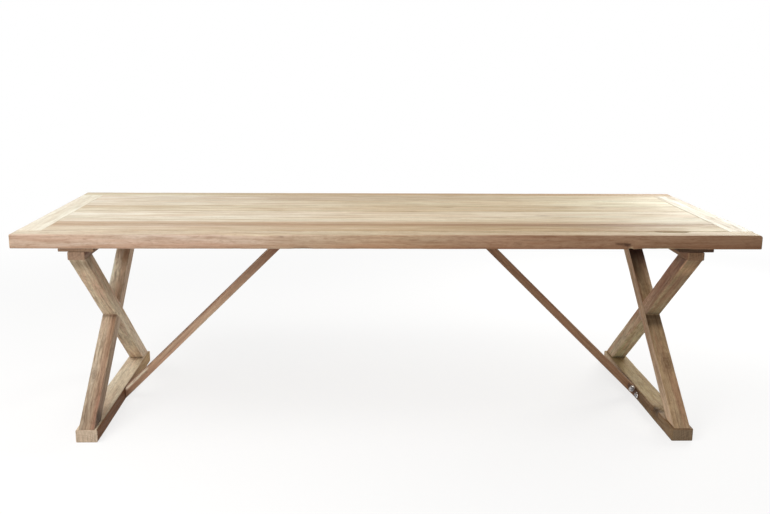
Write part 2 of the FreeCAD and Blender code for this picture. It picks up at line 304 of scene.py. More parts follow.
def makeWood(name, look, knots, offset):
    material, shader = newMaterial(name)
    shades = {shade: screenColour(*look[shade]) for shade in woodColours}
    grain = attribute("grain", "Vector")
    swirl, core = 0.0, 0.0
    for knot in knots:
        mark = useGroup(knotGroup, {
            "Grain": grain, "Centre": tuple(offset + knot[:3]), "Spread": knot.spread,
            "Radius": knot.radius,
        })
        grain = mark["Grain"]
        swirl = maths("MAXIMUM", swirl, maths("MULTIPLY", mark["Swirl"], knot.swirl))
        core = maths("MAXIMUM", core, maths("MULTIPLY", mark["Core"], knot.core))

    figure = useGroup(figureGroup, {
        "Grain": grain, "Ring Width": look["ringWidth"], "Wander": look["wander"],
        "Heart Edge": attribute("heart"), "Fineness": look["fineness"],
    })
    weather = useGroup(weatherGroup, {"Grain": grain, "Fineness": look["fineness"]})
    wear = useGroup(wearGroup, {"Grain": grain, "Arris": attribute("arris")})
    masks = {**dict(figure.items()), **dict(weather.items())}
    endFace = attribute("endFace")
    sideShare = maths("MULTIPLY_ADD", endFace, woodSurface["endFade"], 1.0)
    shares = {"Rings": maths("MULTIPLY_ADD", endFace, woodSurface["endRings"], 1.0), "Saw": endFace}

    colour = shades["pale"]
    for mask, shade in woodLayers.items():
        depth = maths("MULTIPLY", masks[mask], look["depths"][mask])
        depth = maths("MULTIPLY", depth, shares.get(mask, sideShare))
        colour = mixColour(depth, colour, shades[shade])
    if knots:
        colour = mixColour(swirl, colour, shades["knot"])
        colour = mixColour(core, colour, shades["dirt"])
    bare = maths("MULTIPLY", wear["Wear"], look["wearDepth"])
    colour = mixColour(bare, colour, shades["rubbed"])
    # Grime mixes in dirt and painted shade
    colour = mixColour(attribute("grimeAndShade"), colour, shades["dirt"])
    # The tone multiplies in painted light and shade along with the wood's own tone
    colour = mixColour(1.0, colour, attribute("toneAndShading", "Color"), "MULTIPLY")
    feed(shader.inputs["Base Color"], colour)

    feed(shader.inputs["Roughness"], remap(masks["Streaks"], 0.0, 1.0, *look["roughness"]))
    shader.inputs["Specular IOR Level"].default_value = woodSurface["specular"]
    height = 0.0
    for mask, rise in woodSurface["relief"].items():
        height = maths("MULTIPLY_ADD", masks[mask], rise, height)
    addBump(shader, woodSurface["bumpStrength"], woodSurface["bumpDistance"], height)
    return material


# Geometry node tree for a sawn and worn timber

timberShape = dict(
    rubScale=7.0, rubDetail=3.0, rubRoughness=0.6, rubLevels=(0.35, 0.8, -0.3, 1.5), leastArris=0.0005,
    waveStretch=(2.5, 9.0, 9.0),
)


def markPoints(geometry, name, value):
    marking = {"Geometry": geometry, "Name": name, "Value": value}
    return addNode("GeometryNodeStoreNamedAttribute", marking, data_type="FLOAT", domain="POINT")[0]


def endTree(outside, geometry, material):
    real = addNode("GeometryNodeRealizeInstances", {"Geometry": geometry})[0]
    dressed = addNode("GeometryNodeSetMaterial", {"Geometry": real, "Material": material})[0]
    feed(outside["Geometry"], dressed)


def buildTimberTree():
    inputs = {
        "Size": "Vector", "Cells Along": 100, "Cells Across": 12, "Cells Through": 10, "Arris": 0.003,
        "Wear": 0.002, "End Ease": 0.001, "Ripple": 0.0004, "Seed": 0.0, "Wood": "Material",
    }
    tree, inside, outside = newGroup("workedTimber", "GeometryNodeTree", inputs, "Geometry")
    counts = {
        f"Vertices {axis}": maths("ADD", inside["Cells " + way], 1)
        for axis, way in (("X", "Along"), ("Y", "Across"), ("Z", "Through"))
    }
    block = addNode("GeometryNodeMeshCube", {"Size": (2.0, 2.0, 2.0), **counts})

    # Cells crowd towards the arrises
    place = addNode("GeometryNodeInputPosition")[0]
    square = vectors("MULTIPLY", place, place)
    bend = vectors("SUBTRACT", (1.5, 1.5, 1.5), vectors("SCALE", square, 0.5))
    ripple = inside["Ripple"]
    half = vectors("SCALE", inside["Size"], 0.5)
    half = vectors("SUBTRACT", half, combine(0.0, ripple, ripple))
    flat = vectors("MULTIPLY", vectors("MULTIPLY", place, bend), half)

    # The arris is rounder where hands and time have rubbed it
    rubbing = {"Vector": flat, "W": inside["Seed"], "Scale": timberShape["rubScale"]}
    rubbing.update({"Detail": timberShape["rubDetail"], "Roughness": timberShape["rubRoughness"]})
    rub = addNode("ShaderNodeTexNoise", rubbing, noise_dimensions="4D")[0]
    rub = maths("MULTIPLY", inside["Wear"], remap(rub, *timberShape["rubLevels"]))
    arris = maths("MAXIMUM", maths("ADD", inside["Arris"], rub), timberShape["leastArris"])
    radii = combine(inside["End Ease"], arris, arris)
    core = vectors("SUBTRACT", half, radii)
    inner = vectors("MINIMUM", flat, core)
    inner = vectors("MAXIMUM", inner, vectors("SCALE", core, -1.0))
    outward = vectors("DIVIDE", vectors("SUBTRACT", flat, inner), radii)
    bulge = vectors("MULTIPLY", vectors("NORMALIZE", outward), radii)
    rounded = vectors("ADD", inner, bulge)
    onArris = remap(vectors("LENGTH", outward), 1.0, 1.41)

    # The saw and plane leave long shallow waves
    stretched = vectors("MULTIPLY", flat, timberShape["waveStretch"])
    waving = {"Vector": stretched, "W": inside["Seed"], "Scale": 1.0}
    wave = addNode("ShaderNodeTexNoise", waving, noise_dimensions="4D")["Color"]
    wave = vectors("MULTIPLY", vectors("SUBTRACT", wave, midGrey), (0.0, 2.0, 2.0))
    surface = vectors("ADD", rounded, vectors("SCALE", wave, ripple))

    marked = markPoints(block["Mesh"], "arris", onArris)
    shaped = addNode("GeometryNodeSetPosition", {"Geometry": marked, "Position": surface})[0]
    endTree(outside, addNode("GeometryNodeSetShadeSmooth", {"Geometry": shaped})[0], inside["Wood"])
    return tree


def linkObject(name, data):
    piece = bpy.data.objects.new(name, data)
    bpy.context.scene.collection.objects.link(piece)
    return piece


def bakeDown(piece):
    # Leaves the evaluated shape as a plain mesh with no modifier
    graph = bpy.context.evaluated_depsgraph_get()
    plain = bpy.data.meshes.new_from_object(
        piece.evaluated_get(graph), preserve_all_data_layers=True, depsgraph=graph
    )
    piece.modifiers.clear()
    piece.data = plain
    plain.name = piece.name
    return piece


def runTree(name, tree, values, mesh=None):
    piece = linkObject(name, mesh or bpy.data.meshes.new(name))
    modifier = piece.modifiers.new(name, "NODES")
    modifier.node_group = tree
    sockets = {item.name: item.identifier for item in tree.interface.items_tree if item.in_out == "INPUT"}
    for label, value in values.items():
        modifier[sockets[label]] = value
    return bakeDown(piece)


def join(piece, node, slot):
    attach(piece, "root")
    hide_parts(node)


timberTree = buildTimberTree()


# Timbers: x runs along the grain, y across the width, z through the thickness

nearEnd, farEnd = (0, -1), (0, 1)  # a face is an axis and a side
nearSide, farSide = (1, -1), (1, 1)
underFace, topFace = (2, -1), (2, 1)
onTop = (0.45, 1.0, 0.3)  # spread of a knot on an upper face
onSide = (0.45, 0.3, 1.0)  # and of one on a side face
# How far a face's own tone and painted shading, end grain and the wear of an end go in, and the angle of a
# sharp edge
timberEdges = dict(faceDepth=0.006, faceFade=0.004, endGrain=0.0004, endWear=0.003, crease=math.radians(40))
seedStep = 3.7  # metres of grain between one seed and the next
chipShape = dict(taper=0.7, reach=3, pull=0.7, waves=((0.22, 2.3, 40), (0.13, 5.1, 90)))
grainWays = {"x": ((1, 0, 0), (0, 1, 0)), "y": ((0, 1, 0), (-1, 0, 0))}
knotAt = namedtuple("knotAt", "along across through radius spread swirl core", defaults=(0.35, 0.15))
chipMarks = "at edge length depth fresh dirt sidePull"
chipAt = namedtuple("chipAt", chipMarks, defaults=(1.0, 0.0, chipShape["pull"]))
# The amount of a spot is a tone with painted light and shade in a patch, and a depth of grime and painted
# shade in the other spots
spotAt = namedtuple("spotAt", "at reach amount face beside", defaults=(None, None))


def faceToneAndShading(face, *stops, apart=None):
    return {"face": face, "stops": stops, "apart": apart}


attributeKinds = {1: ("FLOAT", "value"), 3: ("FLOAT_VECTOR", "vector"), 4: ("FLOAT_COLOR", "color")}


def readPoints(mesh):
    points = np.empty(len(mesh.vertices) * 3, np.float32)
    mesh.vertices.foreach_get("co", points)
    return points.reshape(-1, 3).astype(float)


def writePoints(mesh, points):
    mesh.vertices.foreach_set("co", points.astype(np.float32).ravel())
    mesh.update()


def setAttribute(mesh, name, values):
    values = np.asarray(values, np.float32).ravel()
    kind, key = attributeKinds[len(values) // len(mesh.vertices)]
    layer = mesh.attributes.get(name) or mesh.attributes.new(name, kind, "POINT")
    layer.data.foreach_set(key, values)


def chipShare(points, size, chip):
    # How far each point is into the chip: one in its middle, zero outside
    sideY, sideZ = chip.edge
    along = (points[:, 0] - chip.at) / (chip.length / 2)
    fromEdge = np.hypot(points[:, 1] - sideY * size[1] / 2, points[:, 2] - sideZ * size[2] / 2)
    inward = np.clip(1 - fromEdge / (chipShape["reach"] * chip.depth), 0, 1)
    return np.clip(1 - along**2, 0, 1) ** chipShape["taper"] * inward


def chipArris(points, size, chip):
    # Pushes one arris in over a short stretch
    share = chipShare(points, size, chip)
    turns = (points[:, 0] - chip.at) / chip.length * math.tau
    push = chip.depth * share
    waves = chipShape["waves"]
    push *= 1 + sum(high * np.sin(turns * pace + chip.at * shift) for high, pace, shift in waves)
    sideY, sideZ = chip.edge
    points[:, 1] -= sideY * push * chip.sidePull
    points[:, 2] -= sideZ * push * chipShape["pull"]
    return share


def roundEnd(points, size, corner):
    # Rounds an end's upper corner, as seen from the side
    radius, end = corner["radius"], corner["end"]
    pastEnd = (points[:, 0] * end - size[0] / 2 + radius).clip(0)
    pastTop = (points[:, 2] - size[2] / 2 + radius).clip(0)
    reach = np.hypot(pastEnd, pastTop)
    pull = 1 - radius / np.maximum(reach, radius)
    points[:, 0] -= end * pastEnd * pull
    points[:, 2] -= pastTop * pull


def axisShare(local, size, axis=0):
    return np.clip(local[:, axis] / size[axis] + 0.5, 0, 1)


def nearEnds(points, size, depth):
    return np.abs(points[:, 0]) > size[0] / 2 - depth


def toneAlong(stops, share):
    # The stops are spaced evenly from one end or edge of the timber to the other
    places = np.linspace(0, 1, len(stops))
    return np.stack([np.interp(share, places, channel) for channel in np.array(stops).T], 1)


def faceShare(local, size, face):
    # One on the face, falling to zero a few millimetres inside it
    axis, side = face
    inside = side * local[:, axis] - size[axis] / 2 + timberEdges["faceDepth"]
    return np.clip(inside / timberEdges["faceFade"], 0, 1)


def spotShare(local, size, spot):
    # One at the spot, fading along the grain and, where it says so, across it
    share = np.exp(-((local[:, 0] - spot.at) / spot.reach) ** 2)
    if spot.face:
        share *= faceShare(local, size, spot.face)
    if spot.beside:
        axis, place, breadth = spot.beside
        share *= np.exp(-((local[:, axis] - place) / breadth) ** 2)
    return share


def boardToneAndShading(local, size, timber):
    # A tone from end to end and one from edge to edge, both holding painted light and shade as well as the
    # wood's own tone, and one of its own for a face, mostly painted light and shade for how that face is lit;
    # patches add painted highlights, shadows and glare
    share = axisShare(local, size)
    toneAndShading = toneAlong(timber["toneAndShading"], share)
    if "acrossToneAndShading" in timber:
        axis, stops = timber["acrossToneAndShading"]
        toneAndShading *= toneAlong(stops, axisShare(local, size, axis))
    for own in timber.get("faceTonesAndShading", ()):
        onFace = faceShare(local, size, own["face"])
        if own["apart"]:
            onFace *= 1 - faceShare(local, size, own["apart"])
        toneAndShading += (toneAlong(own["stops"], share) - toneAndShading) * onFace[:, None]
    for patch in timber.get("toneAndShadingPatches", ()):
        toneAndShading *= 1 + (np.array(patch.amount) - 1) * spotShare(local, size, patch)[:, None]
    return np.hstack([toneAndShading, np.ones((len(toneAndShading), 1))])


def boardGrimeAndShade(local, size, timber):
    # Dirt in the joints and in the chips that are old, with painted shade: shadows under the top, below the
    # laps, at the feet and where parts meet
    grimeAndShade = np.zeros(len(local))
    for spot in timber.get("grimeAndShade", ()):
        grimeAndShade = np.maximum(grimeAndShade, spot.amount * spotShare(local, size, spot))
    for chip in timber.get("chips", ()):
        grimeAndShade = np.maximum(grimeAndShade, chip.dirt * chipShare(local, size, chip))
    return grimeAndShade


def cutAway(piece, cutter):
    modifier = piece.modifiers.new("lap", "BOOLEAN")
    modifier.operation = "DIFFERENCE"
    modifier.solver = "EXACT"
    modifier.object = cutter
    bakeDown(piece)
    bpy.data.objects.remove(cutter)


def makeTimber(timber):
    node, size = timber["node"], timber["size"]
    offset = np.array((timber["seed"] * seedStep, -timber["pith"][0], -timber["pith"][1]))
    look = {**woodLooks[timber["wood"]], **timber.get("look", {})}
    look["depths"] = {**look["depths"], **timber.get("depths", {})}
    cells = dict(zip(("Cells Along", "Cells Across", "Cells Through"), timber["cells"]))
    wood = makeWood(node + "_finish", look, timber.get("knots", ()), offset)
    piece = runTree(node + "_wood", timberTree, {
        "Size": size, **cells, "Arris": timber["arris"], "Wear": timber["wear"], "Seed": timber["seed"],
        "End Ease": timber["endEase"], "Ripple": timber["ripple"], "Wood": wood,
    })
    mesh = piece.data
    points = readPoints(mesh)
    bare = np.zeros(len(points))
    mesh.attributes["arris"].data.foreach_get("value", bare)
    bare[nearEnds(points, size, timberEdges["endWear"])] *= timber.get("endWear", 1.0)
    for chip in timber.get("chips", ()):
        bare = np.maximum(bare, chip.fresh * chipArris(points, size, chip))
    setAttribute(mesh, "arris", bare)
    setAttribute(mesh, "endFace", nearEnds(points, size, timberEdges["endGrain"]))
    for corner in timber.get("roundEnds", ()):
        roundEnd(points, size, corner)
    startSlope, endSlope = timber.get("endSlopes", (0.0, 0.0))
    points[:, 0] += points[:, 1] * (startSlope + (endSlope - startSlope) * axisShare(points, size))
    along, across = Vector(timber["along"]), Vector(timber["across"])
    turn = np.array([along, across, along.cross(across)])
    centre = np.array(timber["centre"])
    writePoints(mesh, points @ turn + centre)
    for cutter in timber.get("cutters", ()):
        cutAway(piece, cutter)

    mesh = piece.data
    local = (readPoints(mesh) - centre) @ turn.T
    setAttribute(mesh, "grain", local + offset)
    setAttribute(mesh, "toneAndShading", boardToneAndShading(local, size, timber))
    setAttribute(mesh, "heart", np.full(len(local), timber["heart"]))
    setAttribute(mesh, "grimeAndShade", boardGrimeAndShade(local, size, timber))
    mesh.set_sharp_from_angle(angle=timberEdges["crease"])
    join(piece, node, timber["slot"])


def layTimber(node, base, own, way="x", length=None, gap=0.0):
    # Fills the node's box, with the grain along x or y
    low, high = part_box(node)
    x, y, z = high - low
    run, width = (x, y) if way == "x" else (y, x)
    along, across = grainWays[way]
    size = (length or run, width - gap, z)
    place = {"node": node, "size": size, "centre": tuple((low + high) / 2), "along": along, "across": across}
    makeTimber({**base, **place, **own})


# Table top

topBoard = dict(wood="topWood", slot="top_wood", arris=0.003, wear=0.002, endEase=0.004, ripple=0.0004)
borderBoard = dict(topBoard, cells=(420, 18, 14))
borderBoards = {
    "front_border_board": dict(
        seed=1.0, pith=(-0.01, -0.16), heart=0.152,
        toneAndShading=[(0.98, 1.03, 1.1), (0.92, 0.91, 0.85), (0.73, 0.7, 0.54)],
        # The front face darkens from left to right, painting the fall of light along it, and its far end is
        # painted darker as shade
        faceTonesAndShading=[
            faceToneAndShading(
                nearSide, (0.81, 0.75, 0.82), (0.86, 0.82, 0.9), (0.78, 0.69, 0.65), (0.51, 0.38, 0.32),
                (0.43, 0.31, 0.26),
            ),
            faceToneAndShading(nearEnd, (0.8, 0.73, 0.72)), faceToneAndShading(farEnd, (0.5, 0.42, 0.36)),
        ],
        toneAndShadingPatches=[spotAt(0.364, 0.16, (0.91, 0.84, 0.83), nearSide)],
        depths=dict(Bands=0.6, Flecks=0.42, Red=0.45, Stain=0.35, Lines=0.35, Mottle=0.25),
        knots=[
            knotAt(0.45, -0.039, -0.006, 0.005, onSide, swirl=0.3),
            knotAt(-0.3705, -0.039, 0.018, 0.004, onSide, core=0.4),
            knotAt(0.803, -0.039, -0.0065, 0.0065, (0.3, 0.3, 1.0), core=0.55),
            knotAt(0.828, -0.039, -0.009, 0.008, onSide, core=0.8),
        ],
        chips=[
            chipAt(-0.465, (-1, 1), 0.26, 0.006, sidePull=0.2),
            chipAt(-0.525, (-1, -1), 0.03, 0.002, fresh=0.0, dirt=0.5),
            chipAt(-0.299, (-1, -1), 0.07, 0.0025, fresh=0.0, dirt=0.8),
            chipAt(0.018, (-1, -1), 0.04, 0.002, fresh=0.0, dirt=0.5),
            chipAt(0.84, (-1, -1), 0.014, 0.0068, fresh=2.6), chipAt(0.96, (-1, -1), 0.2, 0.0045, fresh=0.0),
            chipAt(1.008, (1, 1), 0.13, 0.0075, fresh=0.0, dirt=1.0),
        ],
        roundEnds=[dict(end=1, radius=0.012)],
    ),
    "back_border_board": dict(
        seed=2.0, pith=(0.02, -0.1), heart=0.13,
        toneAndShading=[(1.155, 1.32, 1.41), (0.9, 0.87, 0.79), (0.82, 0.78, 0.67)],
        faceTonesAndShading=[
            faceToneAndShading(farSide, (0.8, 0.75, 0.77), (0.74, 0.67, 0.65), (0.66, 0.57, 0.52)),
            faceToneAndShading(nearEnd, (0.8, 0.74, 0.72)), faceToneAndShading(farEnd, (0.68, 0.6, 0.54)),
        ],
    ),
}
for node, own in borderBoards.items():
    layTimber(node, borderBoard, own)

endBoard = dict(
    topBoard, cells=(150, 18, 14), endEase=0.001, heart=0.05,
    look=dict(rubbed=(206, 184, 152), wearDepth=0.5),
)
endBoards = {
    "left_end_board": dict(
        seed=3.0, pith=(0.01, -0.12), toneAndShading=[(1.13, 1.25, 1.41), (1.31, 1.53, 1.78)],
        faceTonesAndShading=[faceToneAndShading(farSide, (0.86, 0.81, 0.84))],
        depths=dict(Bands=0.5, Streaks=0.25, Grey=0.1, Stain=0.2),
    ),
    "right_end_board": dict(
        # The right end board is paler and creamier, partly painted glare
        seed=4.0, pith=(-0.02, -0.1), toneAndShading=[(1.08, 1.22, 1.37)],
        faceTonesAndShading=[faceToneAndShading(nearSide, (0.74, 0.65, 0.58))],
        knots=[knotAt(-0.369, -0.015, 0.024, 0.007, onTop)],
    ),
}
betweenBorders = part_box("back_border_board")[0].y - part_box("front_border_board")[1].y
for node, own in endBoards.items():
    layTimber(node, endBoard, own, "y", betweenBorders)

# Dirt lies in the seams between the planks
plank = dict(
    topBoard, cells=(300, 18, 8), endEase=0.001, arris=0.0016, wear=0.001, endWear=0.25,
    look=dict(rubbed=woodLooks["topWood"]["dirt"]),
)
plankGap = 0.0012
# Painted glare: the right ends of the planks are lightened where a window's sheen falls on the top
paintedGlareEnd = spotAt(1.2, 0.42, (1.07, 1.13, 1.2), topFace)
alongFront, alongBack = (1, -0.045, 0.05), (1, 0.045, 0.05)
planks = {
    "plank_1": dict(
        seed=5.0, pith=(0.075, -0.03), heart=0.075,
        toneAndShading=[(0.95, 0.99, 1.07), (0.77, 0.69, 0.6), (0.5, 0.41, 0.31)],
        acrossToneAndShading=(1, [(1.08, 1.08, 1.06), (0.98, 0.98, 0.96)]),
        toneAndShadingPatches=[
            spotAt(0.62, 0.35, (1.13, 1.16, 1.11), topFace, alongFront),
            spotAt(0.62, 0.35, (0.93, 0.92, 0.84), topFace, alongBack),
            spotAt(-0.7, 0.35, (1.08, 1.1, 1.2), topFace, alongBack),
            # painted glare at the right end
            spotAt(1.2, 0.2, (1.5, 1.85, 2.05), topFace),
        ],
    ),
    "plank_2": dict(
        seed=6.0, pith=(-0.08, -0.02), heart=0.07,
        toneAndShading=[(1.06, 1.15, 1.29), (0.99, 1.01, 1.0), (0.88, 0.88, 0.81)],
        acrossToneAndShading=(1, [(0.99, 0.99, 0.99), (1.08, 1.1, 1.12)]),
        toneAndShadingPatches=[
            spotAt(0.4, 0.5, (1.1, 1.13, 1.18), topFace, alongBack),
            # painted glare at the right end
            spotAt(1.2, 0.25, (1.06, 1.18, 1.3), topFace),
        ],
    ),
    "plank_3": dict(
        seed=7.0, pith=(0.02, -0.12), heart=0.07, toneAndShadingPatches=[paintedGlareEnd],
        toneAndShading=[(1.2, 1.36, 1.58), (1.1, 1.13, 1.16), (1.0, 1.04, 1.01)],
        knots=[knotAt(0.614, -0.025, 0.024, 0.009, onTop)],
    ),
    "plank_4": dict(
        seed=8.0, pith=(-0.03, -0.1), heart=0.06, toneAndShadingPatches=[paintedGlareEnd],
        toneAndShading=[(1.05, 1.12, 1.18), (0.96, 0.95, 0.88), (0.86, 0.85, 0.75)],
        knots=[
            knotAt(0.268, 0.032, 0.024, 0.008, onTop), knotAt(0.737, 0.045, 0.024, 0.009, onTop),
            knotAt(0.891, 0.029, 0.024, 0.01, onTop),
        ],
    ),
    "plank_5": dict(
        seed=9.0, pith=(0.04, -0.11), heart=0.09, toneAndShadingPatches=[paintedGlareEnd],
        toneAndShading=[(1.2, 1.34, 1.53), (0.98, 0.99, 0.95), (1.05, 1.12, 1.06)],
    ),
    "plank_6": dict(
        seed=10.0, pith=(-0.02, -0.12), heart=0.1, toneAndShadingPatches=[paintedGlareEnd],
        toneAndShading=[(1.2, 1.32, 1.5), (0.84, 0.82, 0.78), (0.96, 0.98, 0.9)],
    ),
}
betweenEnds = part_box("right_end_board")[0].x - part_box("left_end_board")[1].x
for node, own in planks.items():
    layTimber(node, plank, own, "x", betweenEnds - plankGap, plankGap)

tongueCount = 7
tongue = dict(
    topBoard, slot="tongue_wood", cells=(40, 6, 4), arris=0.0008, wear=0.0, endEase=0.0005, ripple=0.0,
    pith=(0.0, -0.05), heart=0.02, toneAndShading=[(0.9, 0.9, 0.9)],
)
for number in range(1, tongueCount + 1):
    layTimber(f"loose_tongue_{number}", tongue, {"seed": 30.0 + number})
print("table top boarded")


# Trestles

trestleWood = dict(
    wood="trestleWood", slot="trestle_wood", wear=0.0016, endEase=0.0012, ripple=0.0005, pith=(0.02, 0.06),
    heart=0.05,
)
legWood = dict(trestleWood, cells=(170, 16, 14), arris=0.002, endEase=0.0004)
legSizes = dict(width=0.06, lapGap=0.0002, cutterOverrun=0.01)
# Painted shade at the head of each leg, where the table top shades it
legHeadShade = dict(reach=0.05, depth=0.4)
railKinds = {
    "foot_rail": dict(
        cells=(220, 16, 12), arris=0.0025,
        depths=dict(Bands=0.6, Streaks=0.25, Red=0.25, Grey=0.3, Stain=0.3, Mottle=0.25),
    ),
    "head_rail": dict(cells=(150, 14, 10), arris=0.0025),
    "batten": dict(cells=(150, 16, 8), arris=0.0015),
    "brace_batten": dict(cells=(120, 16, 8), arris=0.0015),
}


def legPlace(node):
    # The leg's middle line, from its foot on the foot rail to its head under the head rail
    side, frontFoot = node.split("_")[0], "front" in node
    low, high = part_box(node)
    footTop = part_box(side + "_foot_rail")[1].z
    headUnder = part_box(side + "_head_rail")[0].z
    footY, headY = (low.y, high.y) if frontFoot else (high.y, low.y)
    rise, run = headUnder - footTop, abs(headY - footY)
    slope = math.atan2(rise, run) + math.asin(legSizes["width"] / math.hypot(rise, run))
    inset = legSizes["width"] / math.sin(slope) / 2 * (1 if frontFoot else -1)
    middleX = (low.x + high.x) / 2
    foot = Vector((middleX, footY + inset, footTop))
    head = Vector((middleX, headY - inset, headUnder))
    return foot, head, high.x - low.x


def lapCutter(node):
    # The other leg's band, over the half of the thickness that this leg gives up
    frontFoot = "front" in node
    other = node.replace("front", "back") if frontFoot else node.replace("back", "front")
    foot, head, thickness = legPlace(other)
    along = (head - foot).normalized()
    through = Vector((1 if frontFoot else -1, 0, 0))
    across = through.cross(along)
    halfWidth = legSizes["width"] / 2 + legSizes["lapGap"]
    depth = thickness / 2 + legSizes["cutterOverrun"]
    corners = [
        middle + across * sideways + through * deep
        for deep in (0, depth) for middle in (foot, head) for sideways in (-halfWidth, halfWidth)
    ]
    faces = [(0, 1, 3, 2), (4, 6, 7, 5), (0, 4, 5, 1), (2, 3, 7, 6), (0, 2, 6, 4), (1, 5, 7, 3)]
    mesh = bpy.data.meshes.new("lapCutter")
    mesh.from_pydata(corners, [], faces)
    return linkObject("lapCutter", mesh)


def makeLeg(node, own):
    foot, head, thickness = legPlace(node)
    along = (head - foot).normalized()
    across = Vector((1, 0, 0)).cross(along)
    lean = -across.z / along.z
    length = (head - foot).length
    headShade = spotAt(length / 2, legHeadShade["reach"], legHeadShade["depth"])
    makeTimber({
        **legWood, **own, "node": node, "size": (length, legSizes["width"], thickness),
        "centre": tuple((foot + head) / 2), "along": along, "across": across, "endSlopes": (lean, lean),
        "cutters": [lapCutter(node)], "grimeAndShade": [headShade, *own.get("grimeAndShade", ())],
    })


onFront = (0.5, 0.3, 1.0)  # spread of a knot on a leg's front
legFront, legLeft, legRight = farSide, underFace, topFace

